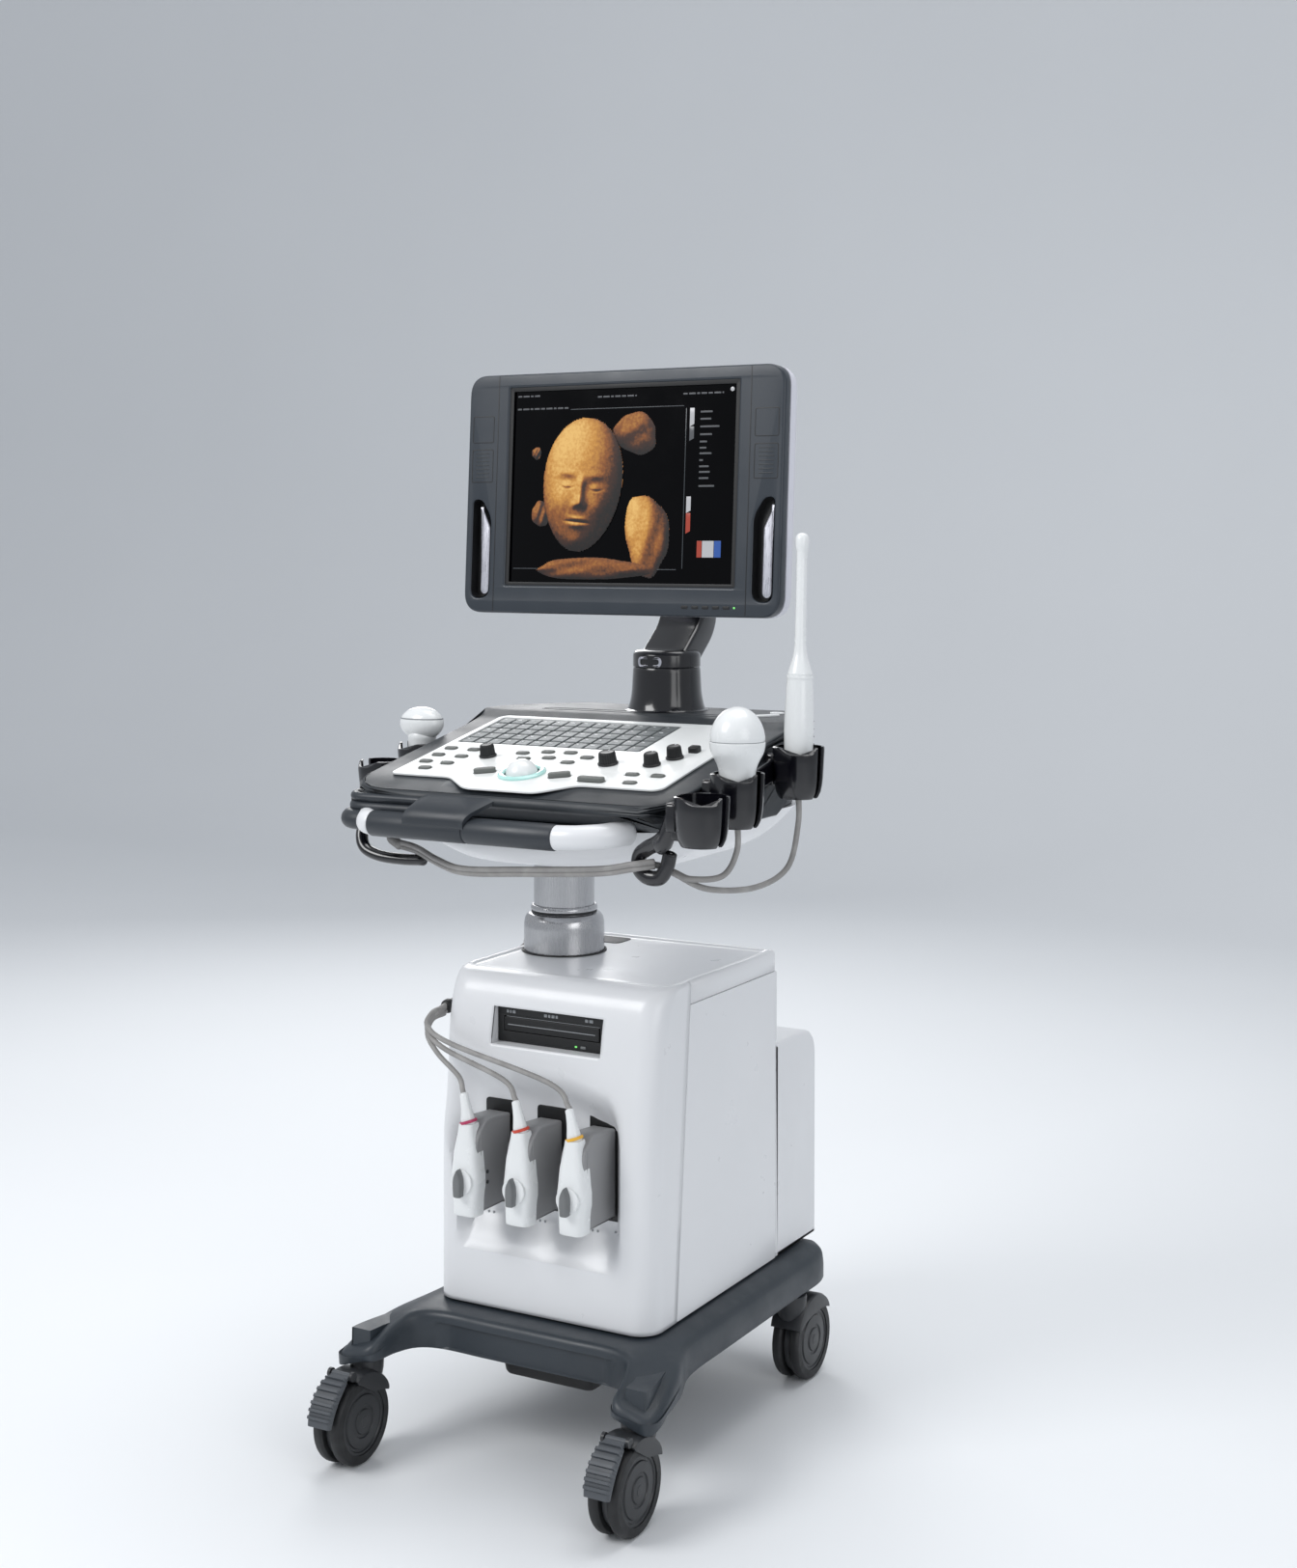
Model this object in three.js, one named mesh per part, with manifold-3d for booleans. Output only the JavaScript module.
// A trolley ultrasound machine: castered base, electronics cabinet, lifting column, swivelling
// control console with probe holders, and a tilting display on an arm.
//
// Millimetres. +Z is up, -Y is the operator's side and +X is on the operator's right.
// The origin is on the floor, on the centre plane, midway between the foremost and rearmost points.

import * as THREE from 'three';
import { mergeVertices } from 'three/addons/utils/BufferGeometryUtils.js';
import Module from 'manifold-3d';

const wasm = await Module();
wasm.setup();

// ---------------------------------------------------------------- driving dimensions

const GAP = 0.4; // clearance left between neighbouring pieces
const WALL = 3; // wall of every moulded cover

// cabinet
const CAB_HALF = 148;
const CAB_BOTTOM = 164.5;
const CAB_TOP = 554;
const CAB_REAR = 195;
const CAB_CORNER = 28; // radius of the two front corners
const TOP_SEAM = 528; // lower edge of the top cover
const BUMP_REAR = 311;
const BUMP_TOP = 436;
const BUMP_ROUND = 40;
// [height, y of the front face at that height]
const FRONT_LINE = [
  [CAB_BOTTOM, -128], [380, -126], [440, -121], [500, -111], [526, -105],
  [540, -98], [549, -88], [CAB_TOP, -74],
];
const SEAM_FOOT = -65; // y of the front cover's side seam at the bottom
const SEAM_HEAD = -30; // and at the top

// disc drive and connector recess
const DRIVE = { half: 75, z0: 473.5, z1: 516.5, depth: 124 };
const RECESS = { left: -119, right: 108, z0: 230, z1: 455, floor: -97 };
const PORT = { z0: 286, z1: 408 };
const PLUG_PITCH = 72;
const PLUG = { half: 16.5, z0: 284, z1: 398, front: -179, back: -99 };

// column
const COLUMN = { x: -90, y: 74 };
const COLLAR_R = 50.5;
const SLEEVE_R = 45;
const TUBE_R = 38;
const COLLAR_TOP = 610;

// base and casters
const BASE_TOP = 162;
const BASE_RIM = 116;
const WHEEL_R = 50;
const TRAIL = 30; // offset of the wheel axle from the swivel axis
const FRONT_PIVOT = { x: 183, y: -215 };
const REAR_PIVOT = { x: 160, y: 213 };
const CASTER_TOP = 115.5;
// the pedal runs round the wheel: angles up from straight ahead, radii from the axle
const PEDAL = { toe: 12, heel: 64, hinge: 73, r: 60, ribs: 67.5 };

// console
const DECK_SLOPE = Math.atan(0.2077);
const PLATE_FRONT = { y: -167, z: 792.7 };
const PLATE_HALF = 182;
const PLATE_DEPTH = 248; // along the slope
const HOUSING_HALF = 218;
const HOUSING_SPLIT = 742; // joint between the dark upper and white lower shells
const SHELL_BOTTOM = 690;
const REAR_DECK = 850;
const DECK_UNDER = 812; // underside of the rear deck's overhang
const BAR = { y: -219, z: 740, r: 15, left: -168, right: 81, seam: -36 };

// probe holders: cups stand off the console's sides
const CUP_X = 256;
const CUP_R = 30;

// display
const POST = { x: 0, y: 177 };
const ARM_SEAM = 905; // the arm turns on the post above this height
const HINGE = { y: 238, z: 1085 };
const FACE = { y: 55, z: 1124.5 };
const FACE_TILT = THREE.MathUtils.degToRad(-3.5);
const SCREEN = { w: 445, h: 300, r: 22 };

// ---------------------------------------------------------------- materials

const finish = (color, roughness, metalness = 0) =>
  new THREE.MeshStandardMaterial({ color, roughness, metalness });

const WHITE = finish('#e8e9ea', 0.38);
const SLATE = finish('#3c434b', 0.5);
const DARK = finish('#33393f', 0.5);
const BLACK = finish('#0b0c12', 0.3);
const GREY = finish('#7c7f7c', 0.6);
const PLUG_GREY = finish('#8f8f90', 0.5);
const STEEL = finish('#c9cacb', 0.28, 0.95);
const SHEET = finish('#a8abad', 0.45, 0.8);
const BOARD = finish('#2f6b3c', 0.6);
const GLASS = finish('#060607', 0.12);
const RUBBER = finish('#1b1b1d', 0.75);
const RING = finish('#bfe8e0', 0.25);
const CABLE = finish('#9a9896', 0.55);

// ---------------------------------------------------------------- geometry helpers

/** The three.js geometry as a manifold solid, with its corners shared and its faces pointing out. */
function toSolid(geometry) {
  const bare = new THREE.BufferGeometry();
  bare.setAttribute('position', geometry.getAttribute('position').clone());
  if (geometry.index) bare.setIndex(geometry.index.clone());
  const merged = mergeVertices(bare, 1e-3);
  const positions = merged.getAttribute('position').array;
  const corners = merged.index.array;
  const faces = [];
  for (let i = 0; i < corners.length; i += 3) {
    const [a, b, c] = [corners[i], corners[i + 1], corners[i + 2]];
    if (a !== b && b !== c && c !== a) faces.push(a, b, c);
  }
  const inward = signedVolume(positions, faces) < 0;
  if (inward) faces.reverse();
  return new wasm.Manifold(new wasm.Mesh({
    numProp: 3,
    vertProperties: Float32Array.from(positions),
    triVerts: Uint32Array.from(faces),
  }));
}

function signedVolume(positions, faces) {
  const corner = (i) => new THREE.Vector3().fromArray(positions, 3 * faces[i]);
  let total = 0;
  for (let i = 0; i < faces.length; i += 3) {
    total += corner(i).dot(corner(i + 1).cross(corner(i + 2))) / 6;
  }
  return total;
}

function toGeometry(solid) {
  const mesh = solid.getMesh();
  const geometry = new THREE.BufferGeometry();
  geometry.setAttribute('position', new THREE.BufferAttribute(mesh.vertProperties, 3));
  geometry.setIndex(new THREE.BufferAttribute(mesh.triVerts, 1));
  return geometry;
}

const combine = (how, first, others) =>
  toGeometry(others.reduce((sum, next) => sum[how](toSolid(next)), toSolid(first)));
const join = (first, ...others) => combine('add', first, others);
const cut = (first, ...others) => combine('subtract', first, others);
const common = (first, ...others) => combine('intersect', first, others);

/** A box given by its limits on the three axes. */
function block(x0, x1, y0, y1, z0, z1) {
  return new THREE.BoxGeometry(x1 - x0, y1 - y0, z1 - z0)
    .translate((x0 + x1) / 2, (y0 + y1) / 2, (z0 + z1) / 2);
}

/** A closed outline through points given as [a, b]. */
function outline(points) {
  return new THREE.Shape(points.map(([a, b]) => new THREE.Vector2(a, b)));
}

/** The corners of a regular polygon round a point. */
function circle(a, b, r, sides) {
  return Array.from({ length: sides }, (_, i) => {
    const angle = (2 * Math.PI * i) / sides;
    return [a + r * Math.cos(angle), b + r * Math.sin(angle)];
  });
}

/** A rectangle between two corners with rounded corners. */
function rounded(a0, a1, b0, b1, r) {
  const shape = new THREE.Shape();
  shape.absarc(a1 - r, b0 + r, r, -Math.PI / 2, 0);
  shape.absarc(a1 - r, b1 - r, r, 0, Math.PI / 2);
  shape.absarc(a0 + r, b1 - r, r, Math.PI / 2, Math.PI);
  shape.absarc(a0 + r, b0 + r, r, Math.PI, 1.5 * Math.PI);
  return shape;
}

/** An outline in (x, y), raised from z0 to z1; an arc takes twice curveSegments chords. */
function raised(shape, z0, z1, curveSegments = 2) {
  const options = { depth: z1 - z0, bevelEnabled: false, curveSegments };
  return new THREE.ExtrudeGeometry(shape, options).translate(0, 0, z0);
}

/** An outline in (y, z), drawn across from x0 to x1. */
function across(shape, x0, x1, curveSegments = 2) {
  const turn = new THREE.Matrix4().set(0, 0, 1, x0, 1, 0, 0, 0, 0, 1, 0, 0, 0, 0, 0, 1);
  return raised(shape, 0, x1 - x0, curveSegments).applyMatrix4(turn);
}

/** An outline in (x, z), drawn from y0 back to y1. */
function backward(shape, y0, y1, curveSegments = 2) {
  return raised(shape, 0, y1 - y0, curveSegments).rotateX(Math.PI / 2).translate(0, y1, 0);
}

/** A profile of [radius, height] turned about the Z axis. */
function turned(profile, segments = 24) {
  const points = profile.map(([r, z]) => new THREE.Vector2(r, z));
  return new THREE.LatheGeometry(points, segments).rotateX(Math.PI / 2);
}

/** A round bar along a smooth curve through the points; it has an even count of sides. */
function bar(points, radius, steps = 16, sides = 8) {
  const path = new THREE.CatmullRomCurve3(points.map((p) => new THREE.Vector3(...p)));
  const section = new THREE.Shape().absarc(0, 0, radius, 0, 2 * Math.PI);
  const options = { steps, curveSegments: sides / 2, extrudePath: path, bevelEnabled: false };
  return new THREE.ExtrudeGeometry(section, options);
}

/** Skins a stack of rings, each a closed loop of [x, y, z] with the same count of points. */
function skinned(rings) {
  const count = rings[0].length;
  const positions = rings.flat(2);
  const flat = rings[0].map(([x, y, z], i) => {
    const planar = rings[0].every((p) => p[2] === rings[0][0][2]);
    return new THREE.Vector2(x, planar ? rings[0][i][1] : z);
  });
  const faces = [];
  for (let level = 0; level + 1 < rings.length; level++) {
    for (let i = 0; i < count; i++) {
      const a = level * count + i;
      const b = level * count + ((i + 1) % count);
      faces.push(a, b, b + count, a, b + count, a + count);
    }
  }
  const lastRing = (rings.length - 1) * count;
  for (const [a, b, c] of THREE.ShapeUtils.triangulateShape(flat, [])) {
    faces.push(c, b, a, a + lastRing, b + lastRing, c + lastRing);
  }
  const geometry = new THREE.BufferGeometry();
  geometry.setAttribute('position', new THREE.Float32BufferAttribute(positions, 3));
  geometry.setIndex(faces);
  return geometry;
}

/** The points of a rounded rectangle as [a, b] pairs, the same count for every size. */
function loop(a0, a1, b0, b1, r, segments = 4) {
  const centres = [[a1 - r, b0 + r], [a1 - r, b1 - r], [a0 + r, b1 - r], [a0 + r, b0 + r]];
  return centres.flatMap(([a, b], quarter) =>
    Array.from({ length: segments + 1 }, (_, i) => {
      const angle = (quarter - 1 + i / segments) * (Math.PI / 2);
      return [a + r * Math.cos(angle), b + r * Math.sin(angle)];
    }));
}

const model = new THREE.Group();

/** Adds one named piece to a group, as a closed solid that faces out. */
function add(name, geometry, material, parent = model) {
  const mesh = new THREE.Mesh(toGeometry(toSolid(geometry)), material);
  mesh.name = name;
  parent.add(mesh);
  return mesh;
}

// ---------------------------------------------------------------- base

function baseFrame() {
  const plan = new THREE.Shape();
  plan.moveTo(-120, -163);
  plan.lineTo(120, -163);
  plan.quadraticCurveTo(150, -180, 154, -226);
  plan.quadraticCurveTo(156, -240, 172, -240);
  plan.lineTo(198, -240);
  plan.quadraticCurveTo(214, -240, 213, -218);
  plan.quadraticCurveTo(211, -150, 178, -90);
  plan.lineTo(178, 263);
  plan.absarc(138, 263, 40, 0, Math.PI / 2);
  plan.lineTo(-138, 303);
  plan.absarc(-138, 263, 40, Math.PI / 2, Math.PI);
  plan.lineTo(-178, -90);
  plan.quadraticCurveTo(-211, -150, -213, -218);
  plan.quadraticCurveTo(-214, -240, -198, -240);
  plan.lineTo(-172, -240);
  plan.quadraticCurveTo(-156, -240, -154, -226);
  plan.quadraticCurveTo(-150, -180, -120, -163);
  const side = outline([
    [-241, BASE_RIM], [-241, 132], [-232, 138], [-170, 156], [-132, BASE_TOP],
    [285, BASE_TOP], [304, 150], [304, BASE_RIM],
  ]);
  const body = common(raised(plan, 100, 180, 5), across(side, -230, 230));
  const pocket = raised(rounded(-166, 166, -150, 290, 12), 100, 150, 1);
  const bosses = [-1, 1].map((hand) =>
    turned([[0, BASE_RIM], [24, BASE_RIM], [24, 155], [0, 155]], 12)
      .translate(hand * REAR_PIVOT.x, REAR_PIVOT.y, 0));
  return join(cut(body, pocket), ...bosses);
}

// ---------------------------------------------------------------- cabinet

/** The cabinet's outer skin as rings over its height, pulled in by an inset. */
function cabinetSkin(inset) {
  return skinned(FRONT_LINE.map(([height, front], level) => {
    const top = level === FRONT_LINE.length - 1;
    const z = top ? height - inset : height - (level === 0 ? 5 * inset : 0);
    const half = CAB_HALF - inset;
    return loop(-half, half, front + inset, CAB_REAR - inset, CAB_CORNER - inset)
      .map(([x, y]) => [x, squareRear(y, CAB_REAR - inset), z]);
  }));
}

/** The rear corners keep the ring's point count but are drawn square. */
function squareRear(y, rear) {
  return y > rear - CAB_CORNER ? rear : y;
}

function cabinetShell() {
  return cut(cabinetSkin(0), cabinetSkin(WALL));
}

function seamAt(z) {
  return SEAM_FOOT + ((SEAM_HEAD - SEAM_FOOT) * (z - CAB_BOTTOM)) / (CAB_TOP - CAB_BOTTOM);
}

/** Everything in front of the slanting side seam, moved back by a margin. */
function aheadOfSeam(margin) {
  return across(outline([
    [-200, 100], [seamAt(100) + margin, 100], [seamAt(600) + margin, 600], [-200, 600],
  ]), -200, 200);
}

function frontCover(shell) {
  const { left, right, z0, z1, floor } = RECESS;
  const pan = block(left - WALL, right + WALL, -150, floor + WALL, z0 - WALL, z1 + WALL);
  const hollow = raised(outline([
    [left, -150], [right, -150], [right, -126], [right - 20, -112], [right - 20, floor],
    [left + 8, floor],
  ]), z0, z1);
  const ramp = across(outline([[-160, z0 - 1], [floor + 1, z0 - 1], [floor + 1, PORT.z0 - 2],
    [-126, z0]]), left - 1, right + 1);
  const ports = plugPlaces().map((x) =>
    block(x - 22, x + 20, floor - 5, floor + 10, PORT.z0, PORT.z1));
  const slot = block(-DRIVE.half, DRIVE.half, -160, -60, DRIVE.z0, DRIVE.z1);
  const skin = join(common(shell, aheadOfSeam(-GAP / 2)), common(pan, cabinetSkin(0)));
  return cut(skin, cut(hollow, ramp), ...ports, slot);
}

function sidePanel(shell, hand) {
  const zone = block(Math.min(0, hand * 200), Math.max(0, hand * 200), -120, CAB_REAR - WALL - GAP,
    CAB_BOTTOM, TOP_SEAM - GAP);
  return cut(common(shell, zone), aheadOfSeam(GAP / 2));
}

function topCover(shell) {
  const zone = block(-200, 200, -120, 220, TOP_SEAM, CAB_TOP + 5);
  const tray = raised(rounded(-143, 143, -60, 187, 14), CAB_TOP - 2.4, CAB_TOP + 1);
  const hole = turned([[0, 500], [SLEEVE_R + 1, 500], [SLEEVE_R + 1, 600], [0, 600]])
    .translate(COLUMN.x, COLUMN.y, 0);
  return cut(common(shell, zone), aheadOfSeam(GAP / 2), tray, hole);
}

function bumpSkin(inset) {
  const side = new THREE.Shape();
  const rear = BUMP_REAR - inset;
  const top = BUMP_TOP - inset;
  const r = BUMP_ROUND - inset;
  const foot = CAB_BOTTOM - (inset ? 5 : 0);
  side.moveTo(CAB_REAR - (inset ? 9 : 1), foot);
  side.lineTo(rear, foot);
  side.absarc(rear - r, top - r, r, 0, Math.PI / 2);
  side.lineTo(CAB_REAR - (inset ? 9 : 1), top);
  return across(side, -CAB_HALF + inset, CAB_HALF - inset, 4);
}

function rearCover(shell) {
  const zone = block(-200, 200, CAB_REAR - WALL, 220, CAB_BOTTOM, TOP_SEAM - GAP);
  const window = block(-140, 140, 150, 210, CAB_BOTTOM - 5, BUMP_TOP - 12);
  const bump = cut(bumpSkin(0), bumpSkin(WALL));
  return cut(join(common(shell, zone), bump), window);
}

function chassisFrame() {
  const outer = block(-140, 140, -60, 184, 165, 524);
  const inner = block(-137, 137, -61, 185, 168, 521);
  const column = turned([[0, 400], [SLEEVE_R + 2, 400], [SLEEVE_R + 2, 600], [0, 600]])
    .translate(COLUMN.x, COLUMN.y, 0);
  return cut(outer, inner, column);
}

/** An open card cage with its boards standing on edge. */
function cardCage() {
  const box = cut(block(-4, 134, -50, 178, 256, 462), block(-1, 131, -51, 179, 259, 459));
  const boards = Array.from({ length: 5 }, (_, i) =>
    block(14 + 26 * i, 16 + 26 * i, -44, 172, 258, 448));
  return join(box, ...boards);
}

function powerSupply() {
  const fan = turned([[0, 0], [34, 0], [34, 8], [0, 8]], 16).rotateX(Math.PI / 2)
    .translate(66, 176, 210);
  return cut(block(-4, 134, -50, 172, 168.5, 252), fan);
}

/** The drive's case, with a slot in its front for the tray. */
function driveBody() {
  const front = -100;
  const box = block(-DRIVE.half + 1, DRIVE.half - 1, front, front + DRIVE.depth,
    DRIVE.z0 + 1, DRIVE.z1 - 1);
  const slot = block(-65, 65, front - 1, front + 118, 490, 503);
  return cut(box, slot);
}

function discTray() {
  const tray = block(-64, 64, -101, 15, 491, 502);
  const well = turned([[0, 0], [54, 0], [54, 8], [0, 8]], 24).translate(0, -42, 496);
  return cut(tray, well);
}

function connectorPanel() {
  return block(RECESS.left + 4, RECESS.right - 4, RECESS.floor + WALL + GAP,
    RECESS.floor + WALL + 4, PORT.z0 - 8, PORT.z1 + 8);
}

function plugPlaces() {
  return [-1, 0, 1].map((i) => i * PLUG_PITCH - 1);
}

/** A probe connector: grey body, white front with a rounded shoulder and a sleeve for the cable. */
function probePlug() {
  const { half, z0, z1, front, back } = PLUG;
  const body = block(-half, half, front + 4, back, z0 + 3, z1 - 3);
  const face = backward(rounded(-half, half, z0, z1, 7), front, front + 12, 1);
  const sleeve = bar([[0, front + 14, z1 - 12], [-3, front + 15, z1 + 6], [-9, front + 18, z1 + 24]],
    8, 4, 6);
  return join(body, face, sleeve);
}

function plugLock() {
  const dial = turned([[0, 0], [14, 0], [14, 3], [0, 3]], 16);
  const lever = raised(rounded(-4.5, 4.5, -17, 17, 4), 2, 13, 1);
  return join(dial, lever).rotateX(Math.PI / 2);
}

// ---------------------------------------------------------------- column

function columnSleeve() {
  return turned([
    [SLEEVE_R, 168.5], [SLEEVE_R, 551.9], [COLLAR_R, 551.9], [COLLAR_R, 588], [COLLAR_R - 2, 595],
    [COLLAR_R - 6, 599], [COLLAR_R - 6, 602], [COLLAR_R - 7, 606], [COLLAR_R - 10, COLLAR_TOP],
    [TUBE_R + GAP, COLLAR_TOP], [TUBE_R + GAP, 168.5], [SLEEVE_R, 168.5],
  ], 28);
}

/** The lifting tube with the bearing flange that the console turns on. */
function liftTube() {
  return turned([
    [0, 300], [TUBE_R, 300], [TUBE_R, 722], [62, 722], [62, 730], [0, 730],
  ], 28);
}

// ---------------------------------------------------------------- console

/** The dark housing in plan, pulled in by an inset, with its rear half-width and corner cut. */
function housingPlan(inset, rearHalf, corner) {
  const shape = new THREE.Shape();
  const half = HOUSING_HALF - inset;
  const wide = rearHalf - inset;
  const front = -206 + inset;
  const rear = 255 - inset;
  shape.moveTo(-half + 22, front);
  shape.lineTo(half - 22, front);
  shape.quadraticCurveTo(half, front, half, front + 26);
  shape.lineTo(half, 66);
  shape.quadraticCurveTo(half, 84, wide, 96);
  shape.lineTo(wide, 110);
  shape.quadraticCurveTo(wide, 176, wide - corner, 206 - inset);
  shape.quadraticCurveTo(wide - 1.6 * corner, rear, wide - 2.6 * corner, rear);
  shape.lineTo(-wide + 2.6 * corner, rear);
  shape.quadraticCurveTo(-wide + 1.6 * corner, rear, -wide + corner, 206 - inset);
  shape.quadraticCurveTo(-wide, 176, -wide, 110);
  shape.lineTo(-wide, 96);
  shape.quadraticCurveTo(-half, 84, -half, 66);
  shape.lineTo(-half, front + 26);
  shape.quadraticCurveTo(-half, front, -half + 22, front);
  return shape;
}

/** Height of the sloping deck at a given depth. */
function deckHeight(y) {
  return PLATE_FRONT.z + (y - PLATE_FRONT.y) * Math.tan(DECK_SLOPE);
}

function housingSide(inset) {
  const under = 3 + inset;
  return outline([
    [-210, 700], [-210, 775 - inset], [-196, 783 - under], [-169, deckHeight(-169) - under],
    [84, deckHeight(84) - under], [98, REAR_DECK - inset], [240, REAR_DECK - inset],
    [254, 843 - inset], [262, 800 - inset], [262, 700],
  ]);
}

/** The housing as a solid block: a body, and a rear deck that overhangs it. */
function housingBlock(inset) {
  const body = raised(housingPlan(inset, 190, 26), HOUSING_SPLIT - (inset ? 5 : 0), 900, 6);
  const deck = raised(housingPlan(inset, 228, 46), DECK_UNDER + inset, 900, 6);
  return common(join(body, deck), across(housingSide(inset), -260, 260));
}

function upperShell() {
  const outer = housingBlock(0);
  const inner = housingBlock(WALL);
  const grip = across(outline([
    [-215, 700], [-215, 765], [-203, 765], [-170, 757], [-160, 746], [-160, 700],
  ]), -208, 208);
  const gripRoof = across(outline([
    [-205, 768], [-200, 768], [-167, 760], [-157, 748], [-157, 743], [-160, 743], [-160, 746],
    [-170, 757], [-203, 765],
  ]), -208, 208);
  const tongue = cut(across(outline([
    [-170, 785], [-225, 764], [-236, 758.5], [-236, 756], [-219, 756], [-170, 762],
  ]), -112, -34), across(outline([[-150, 700], [-150, 762], [-176, 779], [-176, 700]]), -200, 200));
  const shell = cut(outer, inner);
  const deckHole = raised(rounded(-176, 176, -160, 70, 6), 700, 860, 2);
  return join(cut(join(cut(shell, grip), common(gripRoof, outer)), deckHole), tongue);
}

/** One ring of the white lower shell, from its widest at the joint to its narrow underside. */
function hullRing(z, half, front, rear, r) {
  return loop(-half, half, front, rear, r, 6).map(([x, y]) => [x, y, z]);
}

function lowerShell() {
  const top = HOUSING_SPLIT - GAP;
  const outer = skinned([
    hullRing(SHELL_BOTTOM, 128, -120, 170, 90), hullRing(695, 142, -134, 184, 96),
    hullRing(712, 168, -152, 204, 100), hullRing(top, 190, -158, 226, 90),
  ]);
  const inner = skinned([
    hullRing(SHELL_BOTTOM + WALL, 126, -118, 168, 88), hullRing(698, 139, -131, 181, 93),
    hullRing(713, 165, -149, 201, 97), hullRing(top + 1, 187, -155, 223, 87),
  ]);
  const hole = turned([[0, 600], [TUBE_R + 3, 600], [TUBE_R + 3, 800], [0, 800]])
    .translate(COLUMN.x, COLUMN.y, 0);
  return cut(outer, inner, hole);
}

/** The bar the operator pushes, with the two fixing arms that carry it. */
function frontHandle() {
  const { y, z, r, left, right, seam } = BAR;
  const rod = (x0, x1) => turned([[0, x0], [r, x0], [r, x1], [0, x1]], 20)
    .rotateY(Math.PI / 2).translate(0, y, z);
  const core = turned([[0, left + 2], [r - 2, left + 2], [r - 2, right - 2], [0, right - 2]], 20)
    .rotateY(Math.PI / 2).translate(0, y, z);
  return join(rod(left, seam - 1), rod(seam + 1, right), core);
}

/** A white grip that carries the bar's end back to the console. */
function sideGrip(hand) {
  const start = hand > 0 ? BAR.right : BAR.left;
  const reach = hand > 0 ? 1 : 0.35;
  const path = [[0, 0, 0], [26, 4, 1], [50, 27, 0], [62, 44, -1]];
  const grip = bar(path.map(([x, y, z]) =>
    [start + hand * x * reach, BAR.y + y, BAR.z + z]), 14, 8, 10);
  const edge = start + hand * GAP;
  const side = hand > 0 ? [edge, edge + 100] : [edge - 100, edge];
  return common(grip, block(...side, BAR.y - 30, BAR.y + 80, BAR.z - 30, BAR.z + 30));
}

const BUTTONS = [
  // [x, y] on the deck, as seen from above
  [-164, -66], [-130, -67], [-164, -93], [-130, -94], [-164, -119], [-132, -121], [-149, -142],
  [-59, -69], [-45, -89], [-29, -60], [-15, -81], [1, -58], [32, -72], [18, -93],
  [121, -121], [154, -121], [134, -149],
];
const PADDLES = [[-63, -144, 25], [38, -143, 25]];
const WIDE_KEY = [85, -151];
const KNOBS = [[-96, -88, 9], [71, -90, 10.5], [126, -85, 9], [140, -56, 9]];
const TRACKBALL = { x: -14, y: -141, r: 19 };
const KEYS = { left: -174, right: 84, front: -40, rear: 67, columns: 13, rows: 5 };

/** Distance up the sloping deck of a point given by its depth y. */
function upDeck(y) {
  return (y - PLATE_FRONT.y) / Math.cos(DECK_SLOPE);
}

function faceplate() {
  const plan = new THREE.Shape();
  const back = PLATE_DEPTH;
  plan.moveTo(-PLATE_HALF, 6);
  plan.lineTo(-PLATE_HALF + 4, 1);
  plan.lineTo(-96, 0);
  plan.lineTo(-56, -34);
  plan.lineTo(40, -34);
  plan.lineTo(76, 0);
  plan.lineTo(PLATE_HALF - 6, 0);
  plan.lineTo(PLATE_HALF, 6);
  plan.lineTo(PLATE_HALF, back - 6);
  plan.lineTo(PLATE_HALF - 6, back);
  plan.lineTo(-PLATE_HALF + 6, back);
  plan.lineTo(-PLATE_HALF, back - 6);
  for (const [x, y] of BUTTONS) {
    const s = upDeck(y);
    plan.holes.push(rounded(x - 9, x + 9, s - 5.5, s + 5.5, 5));
  }
  const { left, right, front, rear } = KEYS;
  plan.holes.push(outline([[left, upDeck(front)], [left, upDeck(rear)], [right, upDeck(rear)],
    [right, upDeck(front)]]));
  plan.holes.push(outline(circle(TRACKBALL.x, upDeck(TRACKBALL.y), 20.5, 20)));
  return raised(plan, -2.5, 0, 1);
}

function buttonMat() {
  const sheet = raised(rounded(-174, 174, 9, upDeck(KEYS.front) - 4, 3), -7, -5, 1);
  const well = raised(outline(circle(TRACKBALL.x, upDeck(TRACKBALL.y), 24, 20)), -10, 0);
  const caps = BUTTONS.map(([x, y]) => {
    const s = upDeck(y);
    return raised(rounded(x - 8.4, x + 8.4, s - 4.9, s + 4.9, 4.6), -6, 2, 1);
  });
  return join(cut(sheet, well), ...caps);
}

function keyMat() {
  const { left, right, front, rear, columns, rows } = KEYS;
  const s0 = upDeck(front) + 0.8;
  const s1 = upDeck(rear) - 0.8;
  const sheet = block(left + 0.8, right - 0.8, s0, s1, -7, -3.4);
  const stepX = (right - left - 4) / columns;
  const stepY = (s1 - s0 - 3) / rows;
  const keys = [];
  for (let row = 0; row < rows; row++) {
    for (let column = 0; column < columns; column++) {
      const x = left + 2 + stepX * (column + 0.5);
      const s = s0 + 1.5 + stepY * (row + 0.5);
      keys.push(block(x - stepX * 0.41, x + stepX * 0.41, s - stepY * 0.4, s + stepY * 0.4, -4, -0.6));
    }
  }
  return join(sheet, ...keys);
}

function ringAroundBall() {
  return turned([[21, 0.4], [27, 0.4], [26.5, 2.6], [24, 3.6], [21, 2.6], [21, 0.4]], 24);
}

function knob(radius) {
  return turned([[0, 0], [radius + 1, 0], [radius - 0.8, 13], [radius - 3, 15], [0, 15]], 16);
}

function paddle() {
  return raised(rounded(-13, 13, -5, 5, 4.8), 2.2, 5.2, 1);
}

function wideKey() {
  return raised(rounded(-17, 17, -5, 5, 4.8), 2.2, 5, 1);
}

// ---------------------------------------------------------------- probe holders and probes

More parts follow.
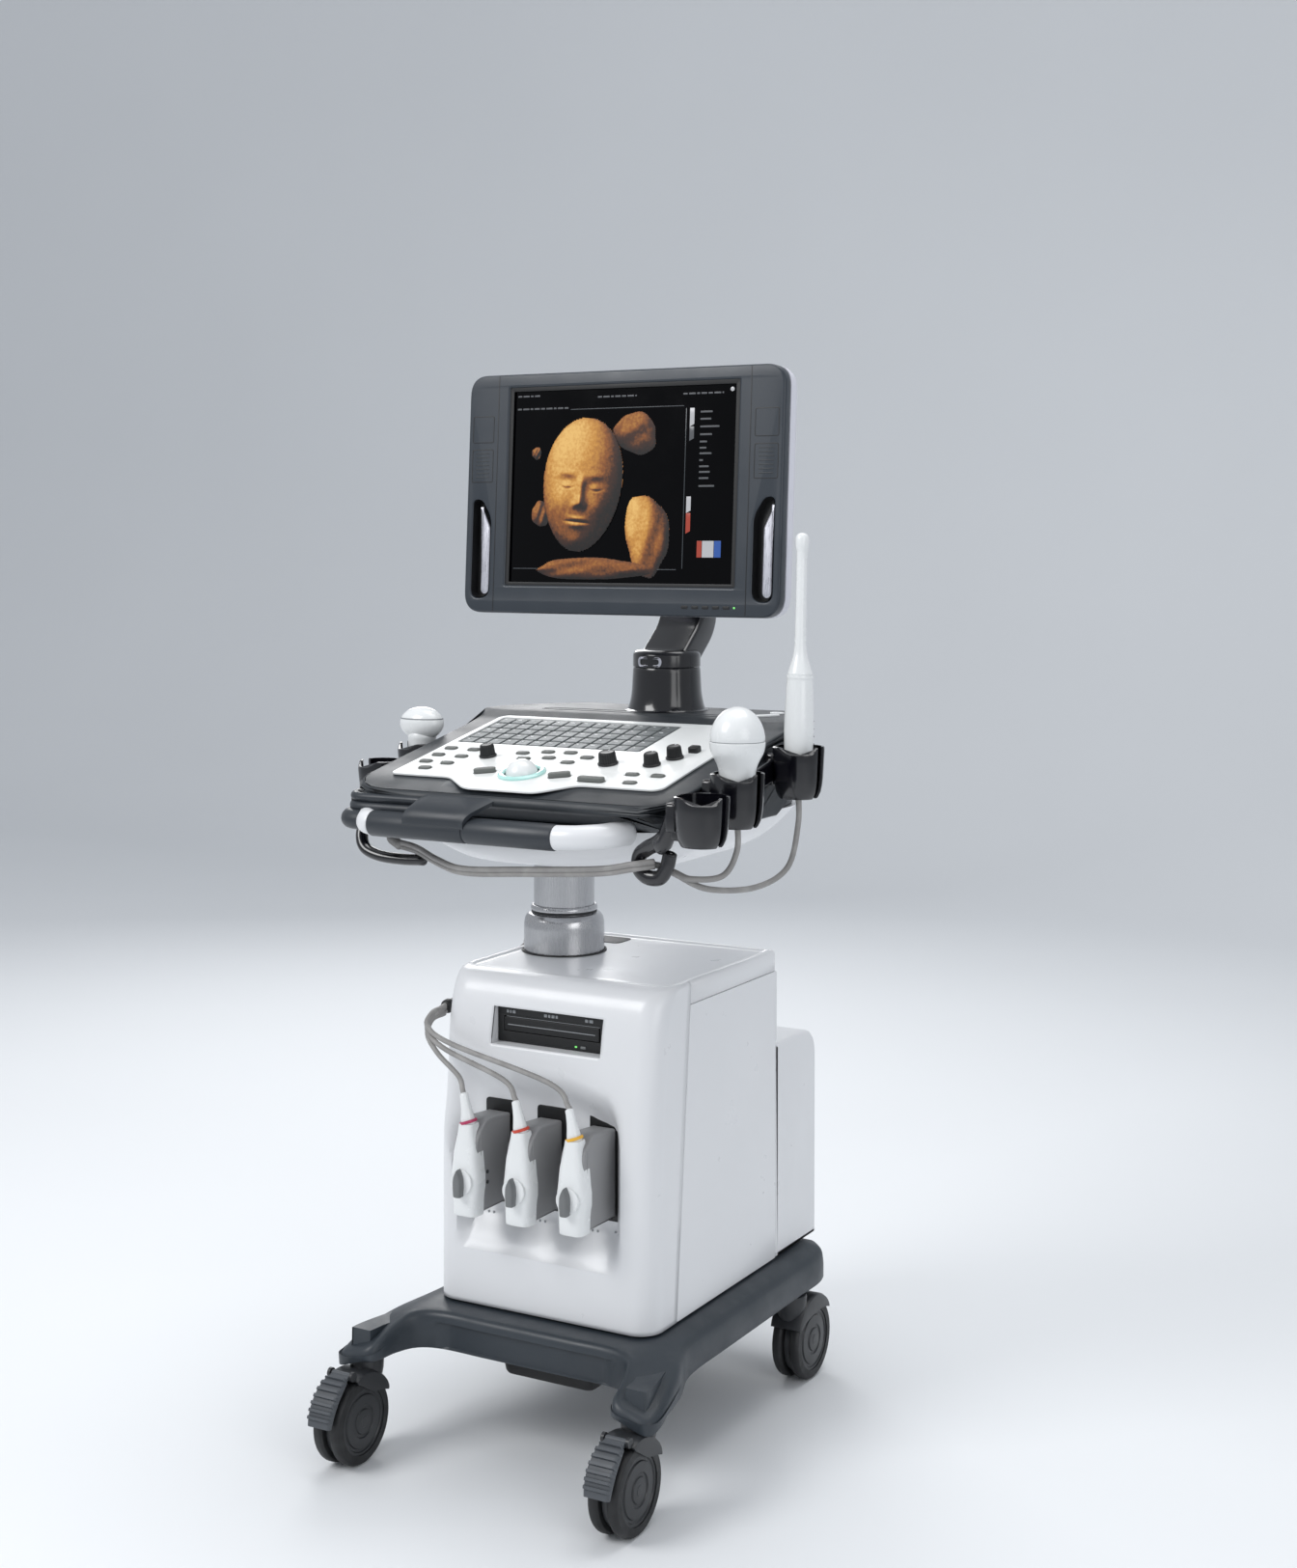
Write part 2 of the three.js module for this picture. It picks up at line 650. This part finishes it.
/** A tapered cup, open below for the cable and slotted on its outer side. */
function cup(y, z0, z1, hand) {
  const wall = 4;
  const body = turned([
    [CUP_R - 4 - wall, z0], [CUP_R - 4, z0], [CUP_R - 1, z1 - 12], [CUP_R, z1],
    [CUP_R - wall, z1], [CUP_R - 1 - wall, z1 - 12], [CUP_R - 4 - wall, z0],
  ], 20);
  const slot = block(10, 40, -6, 6, z0 - 1, z1 + 1);
  return cut(body, hand > 0 ? slot : slot.rotateZ(Math.PI)).translate(hand * CUP_X, y, 0);
}

/** The rail that carries the cups, following the console's slope. */
function cupRail(hand, y0, y1) {
  const near = HOUSING_HALF + GAP;
  const side = outline([
    [y0, deckHeight(y0) - 38], [y1, deckHeight(y1) - 42], [y1, deckHeight(y1) - 20],
    [y0, deckHeight(y0) - 16],
  ]);
  const far = CUP_X - CUP_R + 5;
  return across(side, hand > 0 ? near : -far, hand > 0 ? far : -near);
}

const RIGHT_CUPS = [[-207, 741, 795], [-125, 752, 812], [30, 768, 828]];
const LEFT_CUPS = [[-80, 744, 796], [2, 757, 811]];

function rightHolder() {
  const cups = RIGHT_CUPS.map(([y, z0, z1]) => cup(y, z0, z1, 1));
  const hook = bar([
    [229, -200, 752], [226, -198, 735], [205, -192, 730], [176, -186, 729], [162, -182, 722],
    [163, -182, 707], [178, -183, 698], [195, -184, 703], [203, -185, 726],
  ], 6, 14, 6);
  return join(cupRail(1, -210, 62), ...cups, hook);
}

function leftHolder() {
  const cups = LEFT_CUPS.map(([y, z0, z1]) => cup(y, z0, z1, -1));
  const hook = bar([
    [-225, -108, 772], [-238, -128, 742], [-240, -146, 716], [-232, -153, 698], [-205, -155, 690],
    [-170, -154, 688], [-138, -152, 690],
  ], 6.5, 14, 6);
  return join(cupRail(-1, -112, 34), ...cups, hook);
}

/** A dome-ended volume probe, its neck standing in a cup. */
function volumeProbe() {
  return turned([
    [0, -38], [15, -38], [19, -10], [21, 4], [25, 14], [30.5, 26], [31, 42], [29, 54], [23, 64],
    [12, 71], [0, 73],
  ], 20);
}

/** A slim cavity probe: handle, cone and long shaft. */
function cavityProbe() {
  return turned([
    [0, -44], [13, -44], [16, -20], [17, 20], [15.5, 70], [14, 84], [7.5, 108], [6.5, 130],
    [6.5, 225], [8, 232], [8, 240], [4, 246], [0, 247],
  ], 14);
}

/** A convex probe: flattened head over a round handle. */
function convexProbe() {
  const head = new THREE.SphereGeometry(1, 18, 10).scale(31, 20, 21).translate(0, 0, 36);
  const handle = turned([[0, -36], [11, -36], [16, -10], [17, 8], [14, 26], [0, 26]], 16);
  return join(head, handle);
}

// ---------------------------------------------------------------- display

function monitorPost() {
  return turned([
    [0, REAR_DECK + GAP], [50, REAR_DECK + GAP], [47, 858], [44.5, 874], [43, ARM_SEAM - GAP],
    [0, ARM_SEAM - GAP],
  ], 24);
}

function monitorArm() {
  const cap = turned([[0, ARM_SEAM], [43, ARM_SEAM], [42.5, 918], [38, 925], [0, 927]], 24)
    .translate(POST.x, POST.y, 0);
  const side = outline([
    [168, 915], [206, 908], [244, 940], [256, 962], [256, HINGE.z], [250, HINGE.z + 12],
    [HINGE.y, HINGE.z + 17], [HINGE.y - 12, HINGE.z + 12], [HINGE.y - 17, HINGE.z], [222, 985],
    [212, 962],
  ]);
  const slot = block(-20, 20, 200, 270, HINGE.z - 22, HINGE.z + 30);
  const bore = turned([[0, -50], [5.4, -50], [5.4, 50], [0, 50]], 16).rotateY(Math.PI / 2)
    .translate(0, HINGE.y, HINGE.z);
  return cut(join(cap, across(side, -32, 32)), slot, bore);
}

/** Local to the display: x across, y back from its face, z up from its centre. */
function displayLoop(w, h, r, y, dz = 0) {
  return loop(-w / 2, w / 2, -h / 2 + dz, h / 2 + dz, r).map(([x, z]) => [x, y, z]);
}

function bezel() {
  const frame = backward(rounded(-SCREEN.w / 2, SCREEN.w / 2, -SCREEN.h / 2, SCREEN.h / 2,
    SCREEN.r), 0, 16, 3);
  const window = block(-162, 162, -1, 17, -115, 133);
  const seat = block(-170, 170, 4, 17, -122, 140);
  const pockets = [-1, 1].map((hand) =>
    backward(rounded(Math.min(hand * 186, hand * 212), Math.max(hand * 186, hand * 212), -132, -8,
      12), -1, 10, 2));
  return cut(frame, window, seat, ...pockets);
}

function backShell() {
  const { w, h, r } = SCREEN;
  const outer = skinned([
    displayLoop(w, h, r, 16.4), displayLoop(w, h, r, 30), displayLoop(w - 8, h - 8, r, 42),
    displayLoop(w - 60, h - 50, 30, 60), displayLoop(300, 180, 40, 84),
  ]);
  const inner = skinned([
    displayLoop(w - 6, h - 6, r - 3, 15), displayLoop(w - 6, h - 6, r - 3, 29),
    displayLoop(w - 14, h - 14, r - 3, 40), displayLoop(w - 66, h - 56, 27, 57),
    displayLoop(296, 176, 38, 81),
  ]);
  return cut(outer, inner);
}

/** The lug and pins on the display's back, in the model's own frame. */
function hingeLug() {
  const barrel = turned([[0, -19.5], [14, -19.5], [14, 19.5], [0, 19.5]], 20).rotateY(Math.PI / 2);
  const pins = turned([[0, -32], [5, -32], [5, 32], [0, 32]], 16).rotateY(Math.PI / 2);
  const web = block(-19.5, 19.5, -105, 0, -12, 12);
  return join(barrel, pins, web).translate(0, HINGE.y, HINGE.z);
}

// ---------------------------------------------------------------- casters

/** A disc or rod about the X axis at the wheel centre. */
function aboutAxle(radius, half, segments = 20) {
  return turned([[0, -half], [radius, -half], [radius, half], [0, half]], segments)
    .rotateY(Math.PI / 2).translate(0, -TRAIL, WHEEL_R);
}

/** A point round the wheel: degrees up from straight ahead, and distance from the axle. */
function roundWheel(degrees, radius) {
  const angle = THREE.MathUtils.degToRad(degrees);
  return [-TRAIL - radius * Math.cos(angle), WHEEL_R + radius * Math.sin(angle)];
}

/** A curved strip round the wheel between two angles and two radii. */
function strip(from, to, inner, outer, half, steps = 6) {
  const sweep = (radius, a, b) =>
    Array.from({ length: steps + 1 }, (_, i) => roundWheel(a + ((b - a) * i) / steps, radius));
  return across(outline([...sweep(outer, from, to), ...sweep(inner, to, from)]), -half, half);
}

/** The swivelling housing: stem, web between the wheels and a hood above them. */
function casterHousing(braked) {
  const stem = cut(turned([
    [0, 80], [17, 80], [20, 102], [20, CASTER_TOP], [0, CASTER_TOP],
  ], 12), aboutAxle(52, 24));
  const hood = strip(braked ? 75 : 40, 150, 52, 56, 20, 5);
  const web = join(aboutAxle(44, 4, 16), strip(braked ? 75 : 40, 150, 30, 54, 4, 5));
  const ears = braked ? [-1, 1].map((hand) => pedalHinge(6, 2).translate(hand * 15.4, 0, 0)) : [];
  return cut(join(web, hood, stem, ...ears), aboutAxle(6.4, 9, 12));
}

/** A short rod on the brake pedal's hinge line. */
function pedalHinge(radius, half) {
  const [y, z] = roundWheel(PEDAL.hinge, PEDAL.r);
  return turned([[0, -half], [radius, -half], [radius, half], [0, half]], 8)
    .rotateY(Math.PI / 2).translate(0, y, z);
}

/** Two wheels on one axle, turned about the X axis. */
function wheelPair() {
  const half = [[0, 18.5], [44, 18.5], [WHEEL_R, 13], [WHEEL_R, 5], [6, 5]];
  const profile = [...half, ...half.toReversed().map(([r, x]) => [r, -x])];
  return turned(profile, 28).rotateY(Math.PI / 2);
}

/** A ribbed foot pedal that curves round the front of the wheels. */
function brakePedal() {
  const plate = strip(PEDAL.toe, PEDAL.heel, 57.5, 64, 17, 5);
  const neck = strip(PEDAL.heel - 3, PEDAL.hinge, 58.4, 62, 12.8, 1);
  const spacing = (PEDAL.heel - PEDAL.toe - 6) / 5;
  const ribs = Array.from({ length: 6 }, (_, i) => {
    const at = PEDAL.toe + 3 + spacing * i;
    return strip(at - 1.4, at + 1.4, 62, PEDAL.ribs, 16, 1);
  });
  return join(plate, neck, pedalHinge(3.6, 12.8), ...ribs);
}

/** A caster in its own group: swivel axis on Z, floor at z = 0, wheels ahead of the axis. */
function addCaster(name, x, y, turn, braked) {
  const caster = new THREE.Group();
  caster.position.set(x, y, 0);
  caster.rotation.z = turn;
  model.add(caster);
  add(`${name}_caster_housing`, casterHousing(braked), RUBBER, caster);
  add(`${name}_caster_wheels`, wheelPair(), RUBBER, caster).position.set(0, -TRAIL, WHEEL_R);
  if (braked) add(`${name}_brake_pedal`, brakePedal(), SLATE, caster);
}

// ---------------------------------------------------------------- cables

/** The three plug leads, tied together and led round the cabinet's left side to the column. */
function plugCables() {
  const top = PLUG.z1 + 27;
  const leads = plugPlaces().map((x, i) => bar([
    [x - 11, PLUG.front + 19, top], [x - 18 - 12 * i, -150, top + 16 + 3 * i],
    [-128 + 14 * i, -142, 462 + 6 * i], [-152, -136, 478 + 6 * i], [-163, -112, 490 + 4 * i],
    [-163, -88, 497],
  ], 4, 12, 6));
  const bundle = bar([
    [-163, -96, 496], [-163, -40, 508], [-163, 40, 526], [-163, 98, 545], [-154, 124, 566],
    [-137, 138, 584], [-131, 141, 600],
  ], 9, 14, 8);
  return join(bundle, ...leads);
}

/** The probes' leads, hung in the two hooks and led back under the console to the column. */
function probeCables() {
  const back = bar([
    [-178, -155, 706], [-198, -142, 713], [-208, -100, 723], [-208, -60, 727], [-200, 60, 718],
    [-184, 116, 698], [-154, 139, 676], [-131, 141, 664],
  ], 6, 16, 6);
  const swag = bar([
    [184, -184, 714], [175, -191, 713], [163, -197, 711], [120, -198, 703], [20, -199, 695],
    [-60, -192, 689], [-110, -172, 693], [-150, -159, 703], [-184, -154, 707],
  ], 6, 12, 6);
  const [, second, third] = RIGHT_CUPS;
  const near = bar([
    [CUP_X, second[0], second[1] - 4], [CUP_X, second[0] - 2, 724], [246, -140, 700],
    [222, -166, 698], [204, -170, 704], [190, -174, 710], [178, -180, 713],
  ], 3.6, 12, 6);
  const far = bar([
    [CUP_X, third[0], third[1] - 24], [CUP_X, third[0], 730], [CUP_X - 4, 10, 690],
    [246, -60, 676], [228, -140, 684], [203, -168, 702], [188, -175, 711], [178, -180, 713],
  ], 3.6, 14, 6);
  return join(swag, back, near, far);
}

// ---------------------------------------------------------------- assembly

add('base_frame', baseFrame(), SLATE);
add('underbody_tray', block(-62, 62, -112, 100, 80, 149.6), RUBBER);

const shell = cabinetShell();
add('front_cover', frontCover(shell), WHITE);
add('right_side_panel', sidePanel(shell, 1), WHITE);
add('left_side_panel', sidePanel(shell, -1), WHITE);
add('top_cover', topCover(shell), WHITE);
add('rear_cover', rearCover(shell), WHITE);
add('chassis_frame', chassisFrame(), SHEET);
add('power_supply', powerSupply(), SHEET);
add('card_cage', cardCage(), BOARD);
add('drive_body', driveBody(), BLACK);
add('disc_tray', discTray(), BLACK);
add('connector_panel', connectorPanel(), BLACK);

plugPlaces().forEach((x, i) => {
  add(`probe_plug_${i + 1}`, probePlug(), PLUG_GREY).position.set(x, 0, 0);
  add(`plug_lock_${i + 1}`, plugLock(), GREY).position.set(x, PLUG.front - GAP, 325);
});
add('plug_cables', plugCables(), CABLE);

add('column_sleeve', columnSleeve(), STEEL).position.set(COLUMN.x, COLUMN.y, 0);
add('lift_tube', liftTube(), STEEL).position.set(COLUMN.x, COLUMN.y, 0);

add('console_upper_shell', upperShell(), DARK);
add('console_lower_shell', lowerShell(), WHITE);
add('front_handle', frontHandle(), DARK);
add('left_grip', sideGrip(-1), WHITE);
add('right_grip', sideGrip(1), WHITE);

const deck = new THREE.Group();
deck.position.set(0, PLATE_FRONT.y, PLATE_FRONT.z);
deck.rotation.x = DECK_SLOPE;
model.add(deck);
add('faceplate', faceplate(), WHITE, deck);
add('button_mat', buttonMat(), GREY, deck);
add('key_mat', keyMat(), GREY, deck);
add('trackball_ring', ringAroundBall(), RING, deck).position.set(TRACKBALL.x, upDeck(TRACKBALL.y), 0);
add('trackball', new THREE.SphereGeometry(TRACKBALL.r, 20, 12), WHITE, deck)
  .position.set(TRACKBALL.x, upDeck(TRACKBALL.y), -2);
KNOBS.forEach(([x, y, radius], i) => {
  add(`knob_${i + 1}`, knob(radius), BLACK, deck).position.set(x, upDeck(y), GAP);
});
PADDLES.forEach(([x, y, angle], i) => {
  const mesh = add(`paddle_${i + 1}`, paddle(), GREY, deck);
  mesh.position.set(x, upDeck(y), 0);
  mesh.rotation.z = THREE.MathUtils.degToRad(angle);
});
add('wide_key', wideKey(), GREY, deck).position.set(WIDE_KEY[0], upDeck(WIDE_KEY[1]), 0);

add('right_holder', rightHolder(), BLACK);
add('left_holder', leftHolder(), BLACK);
add('volume_probe', volumeProbe(), WHITE).position.set(CUP_X, RIGHT_CUPS[1][0], 812);
const cavity = add('cavity_probe', cavityProbe(), WHITE);
cavity.position.set(CUP_X, RIGHT_CUPS[2][0], 828);
cavity.rotation.x = THREE.MathUtils.degToRad(-2);
add('convex_probe', convexProbe(), WHITE).position.set(-CUP_X, LEFT_CUPS[1][0], 799);
add('probe_cables', probeCables(), CABLE);

add('monitor_post', monitorPost(), BLACK).position.set(POST.x, POST.y, 0);
add('monitor_arm', monitorArm(), BLACK);
const display = new THREE.Group();
display.position.set(0, FACE.y, FACE.z);
display.rotation.x = FACE_TILT;
model.add(display);
add('monitor_bezel', bezel(), DARK, display);
add('lcd_panel', block(-169, 169, 4.4, 14, -121, 139), GLASS, display);
display.updateMatrixWorld();
const lugInDisplay = hingeLug().applyMatrix4(display.matrixWorld.clone().invert());
add('monitor_back_shell', join(backShell(), lugInDisplay), WHITE, display);

for (const [side, hand] of [['left', -1], ['right', 1]]) {
  addCaster(`front_${side}`, hand * FRONT_PIVOT.x, FRONT_PIVOT.y, 0, true);
  addCaster(`rear_${side}`, hand * REAR_PIVOT.x, REAR_PIVOT.y, Math.PI, false);
}

export default model;
